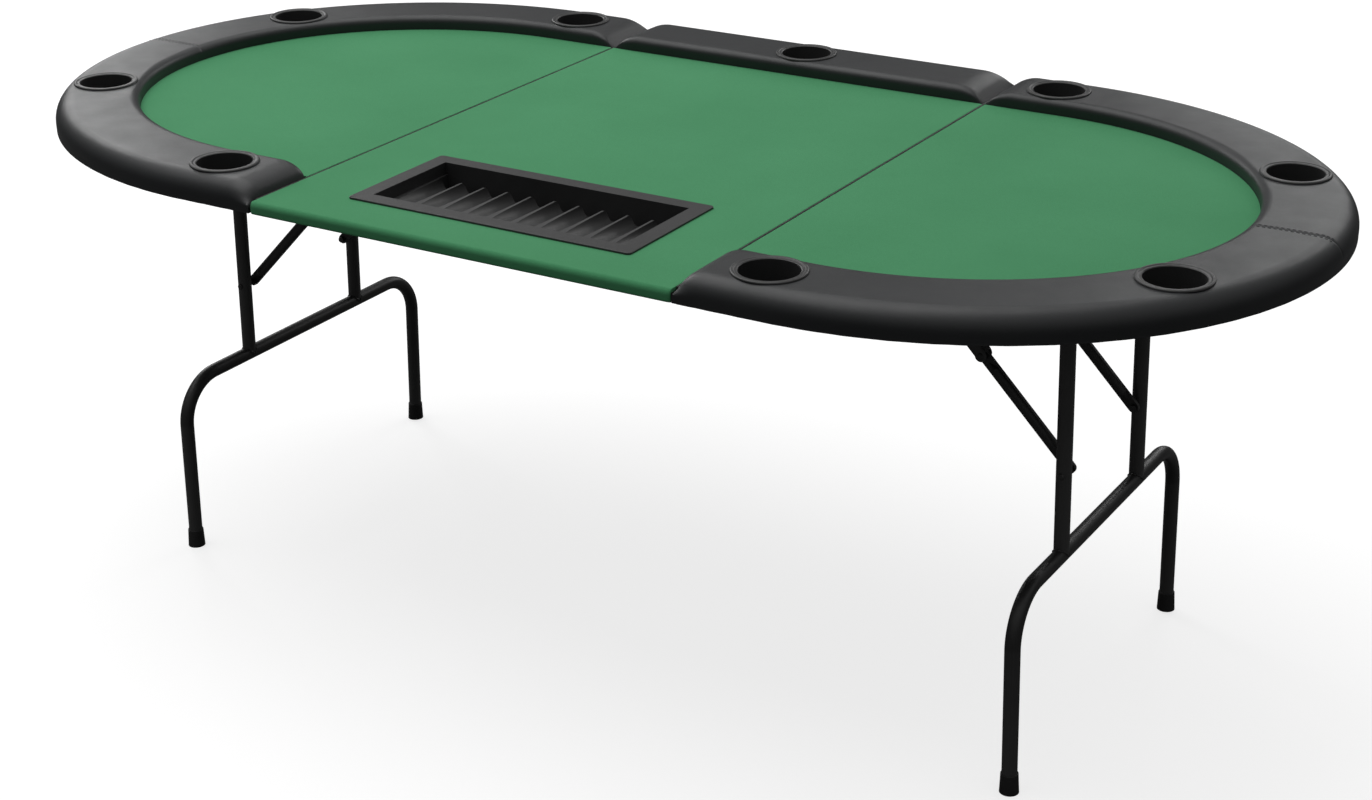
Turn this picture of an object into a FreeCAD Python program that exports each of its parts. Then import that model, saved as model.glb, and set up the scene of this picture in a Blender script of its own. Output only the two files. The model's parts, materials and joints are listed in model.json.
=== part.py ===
import FreeCAD, Part
import math
import os

# Folding oval poker table: three hinged panels carried by two folding leg frames.
# Millimetres.  X runs along the table, +Y points from the dealer's edge to the back rail and Z is up.
# The origin is on the floor below the middle of the top.  The right-hand leaf, its leg frame and its
# brace are modelled, and the left-hand ones are their mirror images across X = 0.

V = FreeCAD.Vector

# Overall size
HALF_LENGTH = 1030.0
HALF_WIDTH = 530.0
RIM_TOP = 760.0
RAIL_TOP = 757.0
STRAIGHT_X = 470.0          # the straight sides end here and the elliptical ends begin

# Panels, from the underside up
BOARD_BOTTOM = 718.0
BOARD_TOP = 730.0
FELT_TOP = 735.0
CORE_TOP = 742.0
EDGE_WRAP = 12.0            # cover and foam round the board's outer edge
FELT_WRAP = 3.0             # felt over the dealer's edge
FELT_EDGE_RADIUS = 8.0
RAIL_WIDTH = 129.0
RAIL_OUTER_RADIUS = 22.0
RAIL_INNER_RADIUS = 8.0
FRONT_RAIL_START = 347.0
CORE_START = 366.0
CORE_GAP = 0.3
RAIL_GAP = 0.4

# Seams and piano hinges
SEAM_X = 343.0
HINGE_Z = 733.2
KNUCKLE_RADIUS = 1.8
PIN_RADIUS = 0.9
PIN_CLEARANCE = 0.05
PLATE_INNER = 0.2
PLATE_OUTER = 1.2
PLATE_BOTTOM = 719.0
HINGE_HALF_LENGTH = 515.0
KNUCKLE_COUNT = 23
KNUCKLE_GAP = 0.3
NOTCH_GAP = 0.6
HINGE_SCREW_Y = (-450.0, -270.0, -90.0, 90.0, 270.0, 450.0)
HINGE_SCREW_RADIUS = 1.2
HINGE_SCREW_HEAD = 2.2
HINGE_SCREW_SINK = 1.0
HINGE_SCREW_LENGTH = 11.0

# Cup holders
CUP_BORE = 40.0
CUP_OUTER = 42.0
CUP_FLANGE = 50.0
CUP_HOLE = 42.5
CUP_BOTTOM = 707.0
CUP_FLOOR = 2.0
CUP_BEAD = 47.0             # radius of the bead on the flange
CUP_INSET = 70.0            # cup centre from the outline on the ends and the dealer's side
CUP_BACK_Y = 457.0
CUP_SIDE_X = 445.0
CUP_END_ANGLE = math.radians(31.0)

# Chip tray
TRAY_Y = -341.0
TRAY_HALF_X = 232.0
TRAY_HALF_Y = 109.0
TRAY_OPEN_X = 206.0
TRAY_OPEN_Y = 83.5
TRAY_RIM = 3.0
TRAY_WALL = 2.0
TRAY_GAP = 1.0
TRAY_CORNER = 6.0
TRAY_EDGE = 1.2
TRAY_RIDGE_TOP = 720.0
GROOVE_COUNT = 10
GROOVE_PITCH = 40.5
GROOVE_RADIUS = 18.5
GROOVE_BACK_Z = 716.0       # the grooves' axes at the back wall and at the front wall
GROOVE_FRONT_Z = 735.5
RIDGE_END_GAP = 16.0        # the ridges stop this far short of the back wall
RIDGE_END_RADIUS = 9.0      # rounding of a ridge's end, seen from the side

# Leg frame: it leans outward by LEAN and is drawn about the pivot, pointing straight down
PIVOT_X = 717.0
PIVOT_Z = 672.0
LEAN = math.atan2(18.0, PIVOT_Z)
FRAME_LENGTH = math.hypot(18.0, PIVOT_Z)
TUBE_RADIUS = 11.0
TUBE_WALL = 1.5
UPRIGHT_Y = 140.0
UPRIGHT_HEAD = 18.0
FOOT_Y = 300.0
CROSSBAR_DROP = 382.0
BEND_RADIUS = 72.0
FOOT_RADIUS = 14.0
FOOT_HEIGHT = 30.0
FOOT_SOLE = 5.0
FOOT_TAPER = 1.5
FIT_GAP = 0.05

# Folding brace, one each side of the middle
BRACE_Y = 117.5
BRACE_TOP_X = 444.0
BRACE_TOP_Z = 700.0
BRACE_DROP = 260.0          # brace pivot below the leg pivot, along the upright
UPPER_LINK = 207.35         # a little over half the brace, so that it folds flat under the board
BRACE_TUBE_RADIUS = 8.0
BRACE_TONGUE = 6.0
TONGUE_RADIUS = 8.0
TONGUE_LENGTH = 14.0
TONGUE_TAPER = 12.0
CHANNEL_HALF = 10.0
CHANNEL_WALL = 1.5
CHANNEL_WEB = 8.6           # web's inner face from the pivots
CHANNEL_OPEN = 7.0
CHANNEL_END_RADIUS = 8.5
CHANNEL_FILLET = 2.5
RIVET_RADIUS = 3.0
RIVET_LIP = 2.0             # a rivet's head stands this far out all round its shank
RIVET_HEAD_HEIGHT = 2.5
ELBOW_HEAD_HEIGHT = 1.2     # low enough to pass the upright as the brace folds
STUB_GAP = 1.5

# Sheet-metal brackets
LEG_BRACKET = (60.0, 50.0, 2.5)
BRACE_BRACKET = (50.0, 40.0, 2.0)
BRACKET_CORNER = 4.0
BRACKET_SCREW_INSET = 6.5
EAR_GAP = 0.8
LEG_EAR_RADIUS = 15.0
BRACE_EAR_RADIUS = 8.0
PIVOT_BOLT_RADIUS = 4.0
SCREW_RADIUS = 1.8
SCREW_HEAD = 3.6
SCREW_LENGTH = 9.0
SCREW_HEAD_HEIGHT = 1.6

# Slide bolts that lock the leaves flat, drawn back as modelled
BOLT_Y = 220.0
BOLT_Z = 709.5
BOLT_RADIUS = 4.0
BOLT_TIP_X = 353.0
BOLT_LENGTH = 100.0
GUIDE_X = (356.0, 420.0)
KEEPER_X = (310.0, 336.0)
LOOP_LENGTH = 8.0
LOOP_HALF = 8.0
LOOP_DROP = 6.5             # loop's lower face below the bolt's axis
HANDLE_X = 402.0
HANDLE_RADIUS = 2.5
HANDLE_DROP = 14.0
KNOB_RADIUS = 4.5
GUIDE_BASE = 2.0
GUIDE_HALF = 15.0
GUIDE_SCREW_Y = 11.0

# Derived places
LEAF_START = SEAM_X + PLATE_OUTER
CENTRE_HALF = SEAM_X - PLATE_OUTER
BOARD_FRONT = FELT_WRAP - HALF_WIDTH
BOARD_BACK = HALF_WIDTH - EDGE_WRAP
RAIL_FRONT = HALF_WIDTH - RAIL_WIDTH

OVERRUN = 1.0               # cutting shapes run this far past what they cut


def box(x0, x1, y0, y1, z0, z1):
    return Part.makeBox(x1 - x0, y1 - y0, z1 - z0, V(x0, y0, z0))


def rod(radius, start, end):
    axis = V(*end) - V(*start)
    return Part.makeCylinder(radius, axis.Length, V(*start), axis)


def prism(points, y0, y1):
    """Extrude an outline given as (x, z) points along Y."""
    corners = [V(x, y0, z) for x, z in points]
    return Part.Face(Part.makePolygon(corners + corners[:1])).extrude(V(0, y1 - y0, 0))


def turned(points, centre):
    """Turn an outline given as (radius, z) points about a vertical axis."""
    corners = [V(r, 0, z) for r, z in points]
    solid = Part.Face(Part.makePolygon(corners + corners[:1])).revolve(V(0, 0, 0), V(0, 0, 1), 360)
    solid.translate(V(centre[0], centre[1], 0))
    return solid


def compound(shapes):
    solids = [solid for shape in shapes for solid in shape.Solids]
    return Part.makeCompound(solids)


def join(shapes):
    return shapes[0].multiFuse(shapes[1:]).removeSplitter()


def mirrored(shape):
    return shape.mirror(V(0, 0, 0), V(1, 0, 0))


def both_sides(shapes):
    return shapes + [mirrored(shape) for shape in shapes]


def fillet_where(solid, radius, wanted):
    return solid.makeFillet(radius, [edge for edge in solid.Edges if wanted(edge)])


def lies_at(edge, z):
    return abs(edge.BoundBox.ZMin - z) < 0.01 and abs(edge.BoundBox.ZMax - z) < 0.01


def leaf_slab(inset, start_x, z0, z1):
    """Slab of the right-hand part of the top, from start_x to the rounded end."""
    side = HALF_WIDTH - inset
    ellipse = Part.Ellipse(V(STRAIGHT_X, 0, z0), HALF_LENGTH - STRAIGHT_X - inset, side)
    edges = [
        Part.makeLine(V(start_x, -side, z0), V(STRAIGHT_X, -side, z0)),
        Part.Arc(ellipse, -math.pi / 2, math.pi / 2).toShape(),
        Part.makeLine(V(STRAIGHT_X, side, z0), V(start_x, side, z0)),
        Part.makeLine(V(start_x, side, z0), V(start_x, -side, z0)),
    ]
    return Part.Face(Part.Wire(edges)).extrude(V(0, 0, z1 - z0))


def seam_notch():
    """Space kept free round the right-hand hinge line, so that the leaf can fold up square."""
    slot = KNUCKLE_RADIUS + RAIL_GAP
    bend = HINGE_Z + slot - NOTCH_GAP
    top = RIM_TOP + 5
    reach = top - HINGE_Z + NOTCH_GAP
    points = [(SEAM_X - slot, BOARD_TOP - 1), (SEAM_X + slot, BOARD_TOP - 1), (SEAM_X + slot, bend),
              (SEAM_X + reach, top), (SEAM_X - reach, top), (SEAM_X - slot, bend)]
    return prism(points, -HALF_WIDTH - 5, HALF_WIDTH + 5)


def leaf_cup_places():
    along = STRAIGHT_X + (HALF_LENGTH - STRAIGHT_X - CUP_INSET) * math.cos(CUP_END_ANGLE)
    across = (HALF_WIDTH - CUP_INSET) * math.sin(CUP_END_ANGLE)
    return {"front": (CUP_SIDE_X, CUP_INSET - HALF_WIDTH), "end_front": (along, -across),
            "end_rear": (along, across), "rear": (CUP_SIDE_X, CUP_BACK_Y)}


def cup_holes(places):
    return [rod(CUP_HOLE, (x, y, BOARD_BOTTOM - 1), (x, y, RIM_TOP)) for x, y in places]


def cup_holder(centre):
    """Straight-sided cup with a flange that lies on the rail."""
    points = [(0, CUP_BOTTOM), (CUP_OUTER - 2, CUP_BOTTOM), (CUP_OUTER, CUP_BOTTOM + 2),
              (CUP_OUTER, RAIL_TOP), (CUP_FLANGE - 0.6, RAIL_TOP), (CUP_FLANGE, RAIL_TOP + 0.8),
              (CUP_FLANGE - 0.6, RIM_TOP - 0.8), (CUP_BEAD + 1, RIM_TOP), (CUP_BEAD - 1, RIM_TOP),
              (CUP_BEAD - 3, RIM_TOP - 1), (CUP_BORE + 1.2, RIM_TOP - 1), (CUP_BORE, RIM_TOP - 2),
              (CUP_BORE, CUP_BOTTOM + CUP_FLOOR), (0, CUP_BOTTOM + CUP_FLOOR)]
    return turned(points, centre)


def flush_screw(x, y, z, direction):
    """Countersunk screw along X; direction is +1 or -1."""
    head = Part.makeCone(HINGE_SCREW_HEAD, HINGE_SCREW_RADIUS, HINGE_SCREW_SINK,
                         V(x, y, z), V(direction, 0, 0))
    start = x + direction * HINGE_SCREW_SINK * 0.9
    return head.fuse(rod(HINGE_SCREW_RADIUS, (start, y, z), (x + direction * HINGE_SCREW_LENGTH, y, z)))


def hinge_screws(side):
    """Screws that hold one leaf of the right-hand hinge to the edge of its board."""
    x = SEAM_X + side * PLATE_INNER
    z = (BOARD_BOTTOM + BOARD_TOP) / 2
    return [flush_screw(x, y, z, side) for y in HINGE_SCREW_Y]


def hinge_leaf(side):
    """One leaf of the right-hand piano hinge; side is -1 on the centre panel and +1 on the leaf."""
    pitch = 2 * HINGE_HALF_LENGTH / KNUCKLE_COUNT
    x0, x1 = sorted((SEAM_X + side * PLATE_INNER, SEAM_X + side * PLATE_OUTER))
    shoulder = HINGE_Z - KNUCKLE_RADIUS - KNUCKLE_GAP
    pieces = [box(x0, x1, -HINGE_HALF_LENGTH, HINGE_HALF_LENGTH, PLATE_BOTTOM, shoulder)]
    for index in range(0 if side < 0 else 1, KNUCKLE_COUNT, 2):
        y0 = index * pitch - HINGE_HALF_LENGTH + KNUCKLE_GAP
        y1 = y0 + pitch - 2 * KNUCKLE_GAP
        pieces.append(rod(KNUCKLE_RADIUS, (SEAM_X, y0, HINGE_Z), (SEAM_X, y1, HINGE_Z)))
        pieces.append(box(x0, x1, y0, y1, shoulder, HINGE_Z))
    reach = HINGE_HALF_LENGTH + OVERRUN
    bore = rod(PIN_RADIUS + PIN_CLEARANCE, (SEAM_X, -reach, HINGE_Z), (SEAM_X, reach, HINGE_Z))
    return join(pieces).cut(compound([bore] + hinge_screws(side)))


def hinge_pin():
    return rod(PIN_RADIUS, (SEAM_X, -HINGE_HALF_LENGTH, HINGE_Z), (SEAM_X, HINGE_HALF_LENGTH, HINGE_Z))


def upward_screw(x, y, z):
    """Round-headed screw driven up into the board through a plate whose lower face is at z."""
    head = rod(SCREW_HEAD, (x, y, z - SCREW_HEAD_HEIGHT), (x, y, z))
    head = fillet_where(head, SCREW_HEAD_HEIGHT * 0.8, lambda edge: lies_at(edge, z - SCREW_HEAD_HEIGHT))
    return head.fuse(rod(SCREW_RADIUS, (x, y, z - SCREW_HEAD_HEIGHT / 2), (x, y, z + SCREW_LENGTH)))


def upward_screws(places):
    return [upward_screw(x, y, BOARD_BOTTOM - thick) for x, y, thick in places]


def pilot_holes(places):
    """Holes in the board for its round-headed screws."""
    return [rod(SCREW_RADIUS + FIT_GAP, (x, y, BOARD_BOTTOM - OVERRUN), (x, y, BOARD_BOTTOM + SCREW_LENGTH))
            for x, y, thick in places]


def plate_holes(places):
    """Holes for the same screws in the plate they hold."""
    top = BOARD_BOTTOM + OVERRUN
    return [rod(SCREW_RADIUS + FIT_GAP, (x, y, BOARD_BOTTOM - thick - OVERRUN), (x, y, top))
            for x, y, thick in places]


def bracket_screw_places(x, y, size):
    """(x, y, plate thickness) of the four screws of a bracket."""
    along = size[0] / 2 - BRACKET_SCREW_INSET
    across = size[1] / 2 - BRACKET_SCREW_INSET
    return [(x + sx * along, y + sy * across, size[2]) for sx in (-1, 1) for sy in (-1, 1)]


def bracket(x, z, y, size, ear_half, ear_radius, bolt_radius):
    """Base plate under the board with two ears either side of a link at y, pivoting at (x, z)."""
    length, width, thick = size
    base = box(x - length / 2, x + length / 2, y - width / 2, y + width / 2,
               BOARD_BOTTOM - thick, BOARD_BOTTOM)
    pieces = [fillet_where(base, BRACKET_CORNER, lambda edge: edge.BoundBox.ZLength > thick / 2)]
    for direction in (-1, 1):
        y0 = min(y + direction * ear_half, y + direction * (ear_half + thick))
        pieces.append(rod(ear_radius, (x, y0, z), (x, y0 + thick, z)))
        pieces.append(box(x - ear_radius, x + ear_radius, y0, y0 + thick, z, BOARD_BOTTOM - thick / 2))
    bore = rod(bolt_radius + FIT_GAP, (x, y - width, z), (x, y + width, z))
    return join(pieces).cut(compound([bore] + plate_holes(bracket_screw_places(x, y, size))))


def leg_brackets():
    ear_half = TUBE_RADIUS + EAR_GAP
    return [bracket(PIVOT_X, PIVOT_Z, y, LEG_BRACKET, ear_half, LEG_EAR_RADIUS, PIVOT_BOLT_RADIUS)
            for y in (-UPRIGHT_Y, UPRIGHT_Y)]


def brace_brackets():
    ear_half = CHANNEL_HALF + EAR_GAP
    return [bracket(BRACE_TOP_X, BRACE_TOP_Z, y, BRACE_BRACKET, ear_half, BRACE_EAR_RADIUS, RIVET_RADIUS)
            for y in (-BRACE_Y, BRACE_Y)]


def rivet_head(x, y, z, radius, height, direction):
    return Part.makeCone(radius, radius * 0.7, height, V(x, y, z), V(0, direction, 0))


def rivet(x, z, y, radius, half_length, head_height):
    """Rivet along Y through everything within half_length of y."""
    head = radius + RIVET_LIP
    pieces = [rod(radius, (x, y - half_length, z), (x, y + half_length, z))]
    pieces += [rivet_head(x, y + side * half_length, z, head, head_height, side) for side in (-1, 1)]
    return join(pieces)


def pivot_rivets():
    """Rivets of the leg frame's and the braces' brackets."""
    leg_half = TUBE_RADIUS + EAR_GAP + LEG_BRACKET[2]
    brace_half = CHANNEL_HALF + EAR_GAP + BRACE_BRACKET[2]
    legs = [rivet(PIVOT_X, PIVOT_Z, y, PIVOT_BOLT_RADIUS, leg_half, RIVET_HEAD_HEIGHT)
            for y in (-UPRIGHT_Y, UPRIGHT_Y)]
    braces = [rivet(BRACE_TOP_X, BRACE_TOP_Z, y, RIVET_RADIUS, brace_half, RIVET_HEAD_HEIGHT)
              for y in (-BRACE_Y, BRACE_Y)]
    return legs + braces


def guide_screw_places(span, y):
    middle = sum(span) / 2
    return [(middle, y - GUIDE_SCREW_Y, GUIDE_BASE), (middle, y + GUIDE_SCREW_Y, GUIDE_BASE)]


def bolt_guide(span, y):
    """Base plate with a loop at each end that guides a slide bolt."""
    x0, x1 = span
    top = BOARD_BOTTOM - GUIDE_BASE
    low = BOLT_Z - LOOP_DROP
    pieces = [box(x0, x1, y - GUIDE_HALF, y + GUIDE_HALF, top, BOARD_BOTTOM)]
    for start in (x0, x1 - LOOP_LENGTH):
        loop = box(start, start + LOOP_LENGTH, y - LOOP_HALF, y + LOOP_HALF, low, top)
        loop = fillet_where(loop, LOOP_HALF / 2,
                            lambda edge: edge.BoundBox.XLength > LOOP_LENGTH / 2 and lies_at(edge, low))
        pieces.append(loop)
    bore = rod(BOLT_RADIUS + 2 * FIT_GAP, (x0 - OVERRUN, y, BOLT_Z), (x1 + OVERRUN, y, BOLT_Z))
    return join(pieces).cut(compound([bore] + plate_holes(guide_screw_places(span, y))))


def bolt_guides(span):
    return [bolt_guide(span, y) for y in (-BOLT_Y, BOLT_Y)]


def slide_bolt(y):
    """Round bolt with a pull knob, drawn back."""
    body = rod(BOLT_RADIUS, (BOLT_TIP_X, y, BOLT_Z), (BOLT_TIP_X + BOLT_LENGTH, y, BOLT_Z))
    body = fillet_where(body, BOLT_RADIUS / 3, lambda edge: edge.BoundBox.XLength < 0.01)
    handle = rod(HANDLE_RADIUS, (HANDLE_X, y, BOLT_Z), (HANDLE_X, y, BOLT_Z - HANDLE_DROP))
    knob = Part.makeSphere(KNOB_RADIUS, V(HANDLE_X, y, BOLT_Z - HANDLE_DROP))
    return join([body, handle, knob])


def leaf_screw_places():
    """Every round-headed screw under the right-hand leaf."""
    places = []
    for side in (-1, 1):
        places += bracket_screw_places(PIVOT_X, side * UPRIGHT_Y, LEG_BRACKET)
        places += bracket_screw_places(BRACE_TOP_X, side * BRACE_Y, BRACE_BRACKET)
        places += guide_screw_places(GUIDE_X, side * BOLT_Y)
    return places


def leaf_board(holes):
    board = leaf_slab(EDGE_WRAP, LEAF_START, BOARD_BOTTOM, BOARD_TOP)
    return board.cut(compound(holes + pilot_holes(leaf_screw_places()) + hinge_screws(1)))


def leaf_felt_pad():
    return leaf_slab(RAIL_WIDTH + RAIL_GAP, LEAF_START, BOARD_TOP, FELT_TOP).cut(seam_notch())


def leaf_rail_core(holes, growth=0.0):
    """Wooden ring inside the rail; growth gives the pocket it lies in."""
    outer = leaf_slab(EDGE_WRAP - growth, CORE_START - growth, BOARD_TOP, CORE_TOP)
    inset = RAIL_WIDTH - EDGE_WRAP + growth
    inner = leaf_slab(inset, LEAF_START - OVERRUN, BOARD_TOP - OVERRUN, CORE_TOP + OVERRUN)
    return outer.cut(compound([inner] + holes))


def leaf_rail_pad(holes):
    """Padded ring round the leaf, wrapped down over the board's edge."""
    ring = leaf_slab(0, LEAF_START, BOARD_BOTTOM, RAIL_TOP)
    ring = ring.cut(leaf_slab(RAIL_WIDTH, LEAF_START - OVERRUN, BOARD_BOTTOM - OVERRUN, RAIL_TOP + OVERRUN))

    def runs_at(edge, reach):
        far = max(abs(edge.BoundBox.YMin), abs(edge.BoundBox.YMax))
        return lies_at(edge, RAIL_TOP) and abs(far - reach) < 1 and edge.BoundBox.XMax > LEAF_START + 1

    pad = fillet_where(ring, RAIL_OUTER_RADIUS, lambda edge: runs_at(edge, HALF_WIDTH))
    pad = fillet_where(pad, RAIL_INNER_RADIUS, lambda edge: runs_at(edge, HALF_WIDTH - RAIL_WIDTH))
    board = leaf_slab(EDGE_WRAP - CORE_GAP, LEAF_START - OVERRUN, BOARD_BOTTOM - OVERRUN, BOARD_TOP)
    front = box(LEAF_START - OVERRUN, FRONT_RAIL_START, -HALF_WIDTH - OVERRUN, 0,
                BOARD_BOTTOM - OVERRUN, RIM_TOP)
    for tool in (board, leaf_rail_core([], CORE_GAP), seam_notch(), compound(holes), front):
        pad = pad.cut(tool)
    return pad


def leaf_parts():
    """Everything that rides on the right-hand leaf."""
    places = leaf_cup_places()
    holes = cup_holes(places.values())
    parts = {"board": leaf_board(holes), "felt_pad": leaf_felt_pad(),
             "rail_core": leaf_rail_core(holes), "rail_pad": leaf_rail_pad(holes)}
    for name, centre in places.items():
        parts["cup_holder_" + name] = cup_holder(centre)
    parts["hinge_swing_leaf"] = hinge_leaf(1)
    parts["leg_brackets"] = compound(leg_brackets())
    parts["brace_brackets"] = compound(brace_brackets())
    parts["pivot_rivets"] = compound(pivot_rivets())
    parts["bolt_guides"] = compound(bolt_guides(GUIDE_X))
    parts["slide_bolt_front"] = slide_bolt(-BOLT_Y)
    parts["slide_bolt_rear"] = slide_bolt(BOLT_Y)
    parts["screws"] = compound(upward_screws(leaf_screw_places()) + hinge_screws(1))
    return parts


def frame_place(shape):
    """Lean a leg part drawn about the pivot outward, and carry it to the pivot."""
    shape.rotate(V(0, 0, 0), V(0, 1, 0), -math.degrees(LEAN))
    shape.translate(V(PIVOT_X, 0, PIVOT_Z))
    return shape


def u_path():
    """Centre line of the bent tube and the point where it starts."""
    low = -FRAME_LENGTH + FOOT_SOLE
    bar = -CROSSBAR_DROP
    turn = FOOT_Y - BEND_RADIUS
    half = math.sqrt(0.5) * BEND_RADIUS
    edges = [Part.makeLine(V(0, -turn, bar), V(0, turn, bar))]
    for side in (-1, 1):
        knee = V(0, side * FOOT_Y, bar - BEND_RADIUS)
        middle = V(0, side * (turn + half), bar - BEND_RADIUS + half)
        edges.append(Part.makeLine(V(0, side * FOOT_Y, low), knee))
        edges.append(Part.Arc(knee, middle, V(0, side * turn, bar)).toShape())
    return Part.Wire(Part.__sortEdges__(edges)), V(0, -FOOT_Y, low)


def u_tube():
    """Crossbar and both feet, bent from one tube."""
    path, start = u_path()
    skins = []
    for radius in (TUBE_RADIUS, TUBE_RADIUS - TUBE_WALL):
        section = Part.Wire([Part.makeCircle(radius, start, V(0, 0, 1))])
        skins.append(path.makePipeShell([section], True, True))
    return skins[0].cut(skins[1])


def upright(y):
    """Tube from the pivot down to the crossbar, whose end is shaped to sit on it."""
    bar = -CROSSBAR_DROP
    reach = 2 * TUBE_RADIUS
    tube = rod(TUBE_RADIUS, (0, y, bar), (0, y, UPRIGHT_HEAD))
    hollow = rod(TUBE_RADIUS - TUBE_WALL, (0, y, bar - OVERRUN), (0, y, UPRIGHT_HEAD + OVERRUN))
    seat = rod(TUBE_RADIUS + FIT_GAP, (0, y - reach, bar), (0, y + reach, bar))
    pivot = rod(PIVOT_BOLT_RADIUS + FIT_GAP, (0, y - reach, 0), (0, y + reach, 0))
    brace = rod(RIVET_RADIUS + FIT_GAP, (0, y - reach, -BRACE_DROP), (0, y + reach, -BRACE_DROP))
    for tool in (hollow, seat, pivot, brace):
        tube = tube.cut(tool)
    return max(tube.Solids, key=lambda solid: solid.Volume)


def foot(y):
    """Rubber cap on a tube end; it starts below the floor and is trimmed level with it."""
    sole = -FRAME_LENGTH
    spare = FOOT_SOLE - 1
    body = Part.makeCone(FOOT_RADIUS, FOOT_RADIUS - FOOT_TAPER, FOOT_HEIGHT + spare, V(0, y, sole - spare))
    body = fillet_where(body, FOOT_TAPER * 0.8, lambda edge: lies_at(edge, sole + FOOT_HEIGHT))
    return body.cut(rod(TUBE_RADIUS + FIT_GAP, (0, y, sole + FOOT_SOLE), (0, y, sole + 2 * FOOT_HEIGHT)))


def feet():
    floor = box(0, HALF_LENGTH, -HALF_WIDTH, HALF_WIDTH, -FOOT_HEIGHT, 0)
    return frame_place(compound([foot(y) for y in (-FOOT_Y, FOOT_Y)])).cut(floor)


def stub_pin(side):
    """Pin fixed in an upright; it stops short of the brace, whose own rivet it faces."""
    inner = side * (BRACE_Y + BRACE_TUBE_RADIUS + STUB_GAP)
    outer = side * (UPRIGHT_Y + TUBE_RADIUS)
    pin = rod(RIVET_RADIUS, (0, inner, -BRACE_DROP), (0, outer, -BRACE_DROP))
    return join([pin, rivet_head(0, outer, -BRACE_DROP, RIVET_RADIUS + RIVET_LIP, RIVET_HEAD_HEIGHT, side)])


def leg_parts():
    """The right-hand leg frame."""
    return {
        "leg_u_tube": frame_place(u_tube()),
        "leg_upright_front": frame_place(upright(-UPRIGHT_Y)),
        "leg_upright_rear": frame_place(upright(UPRIGHT_Y)),
        "leg_feet": feet(),
        "leg_stub_pins": frame_place(compound([stub_pin(side) for side in (-1, 1)])),
    }


def brace_slope():
    """Downward slope of the straight brace in degrees, and its length between end pivots."""
    run = PIVOT_X + BRACE_DROP * math.sin(LEAN) - BRACE_TOP_X
    fall = BRACE_TOP_Z - PIVOT_Z + BRACE_DROP * math.cos(LEAN)
    return math.degrees(math.atan2(fall, run)), math.hypot(run, fall)


def along_brace(shape, start):
    """Carry a link drawn along +X to its place, start being its distance down the brace."""
    shape.translate(V(start, 0, 0))
    shape.rotate(V(0, 0, 0), V(0, 1, 0), brace_slope()[0])
    shape.translate(V(BRACE_TOP_X, 0, BRACE_TOP_Z))
    return shape


def upper_link(y):
    """Channel with its web on the outer side, open towards the folded lower link."""
    outer = CHANNEL_WEB + CHANNEL_WALL
    inner = CHANNEL_HALF - CHANNEL_WALL
    body = box(0, UPPER_LINK, y - CHANNEL_HALF, y + CHANNEL_HALF, -CHANNEL_OPEN, outer)
    body = fillet_where(body, CHANNEL_FILLET,
                        lambda edge: edge.BoundBox.XLength > UPPER_LINK / 2 and lies_at(edge, outer))
    ends = [rod(CHANNEL_END_RADIUS, (x, y - CHANNEL_HALF, 0), (x, y + CHANNEL_HALF, 0))
            for x in (0, UPPER_LINK)]
    reach = 2 * CHANNEL_END_RADIUS
    hollow = box(-reach, UPPER_LINK + reach, y - inner, y + inner, -reach, CHANNEL_WEB)
    return join([body] + ends).cut(compound([hollow, link_bore(0, y), link_bore(UPPER_LINK, y)]))


def lower_link(y):
    """Round tube with a flattened tongue at each end, and the rivet of the open pivot."""
    length = brace_slope()[1] - UPPER_LINK
    half = BRACE_TONGUE / 2
    tongues = [rod(TONGUE_RADIUS, (x, y - half, 0), (x, y + half, 0)) for x in (0, length)]
    web = box(0, length, y - half, y + half, -TONGUE_RADIUS, TONGUE_RADIUS)
    run_out = TONGUE_LENGTH + TONGUE_TAPER
    tube = rod(BRACE_TUBE_RADIUS, (run_out, y, 0), (length - run_out, y, 0))
    tapers = [Part.makeCone(half, BRACE_TUBE_RADIUS, TONGUE_TAPER, V(x, y, 0), V(direction, 0, 0))
              for x, direction in ((TONGUE_LENGTH, 1), (length - TONGUE_LENGTH, -1))]
    button = rod(RIVET_RADIUS + RIVET_LIP, (length, y - BRACE_TUBE_RADIUS, 0),
                 (length, y + BRACE_TUBE_RADIUS, 0))
    return join(tongues + [web, tube] + tapers + [button]).cut(link_bore(0, y))


def link_bore(x, y):
    return rod(RIVET_RADIUS + FIT_GAP, (x, y - 2 * CHANNEL_HALF, 0), (x, y + 2 * CHANNEL_HALF, 0))


def brace_parts():
    """The right-hand pair of folding braces."""
    sides = (-BRACE_Y, BRACE_Y)
    rivets = [rivet(0, 0, y, RIVET_RADIUS, CHANNEL_HALF, ELBOW_HEAD_HEIGHT) for y in sides]
    return {
        "brace_upper_links": along_brace(compound([upper_link(y) for y in sides]), 0),
        "brace_lower_links": along_brace(compound([lower_link(y) for y in sides]), UPPER_LINK),
        "brace_elbow_rivets": along_brace(compound(rivets), UPPER_LINK),
    }


def tray_rim():
    top = FELT_TOP + TRAY_RIM
    rim = box(-TRAY_HALF_X, TRAY_HALF_X, TRAY_Y - TRAY_HALF_Y, TRAY_Y + TRAY_HALF_Y, FELT_TOP, top)
    rim = fillet_where(rim, TRAY_CORNER, lambda edge: edge.BoundBox.ZLength > TRAY_RIM / 2)
    return fillet_where(rim, TRAY_EDGE, lambda edge: lies_at(edge, top))


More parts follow.
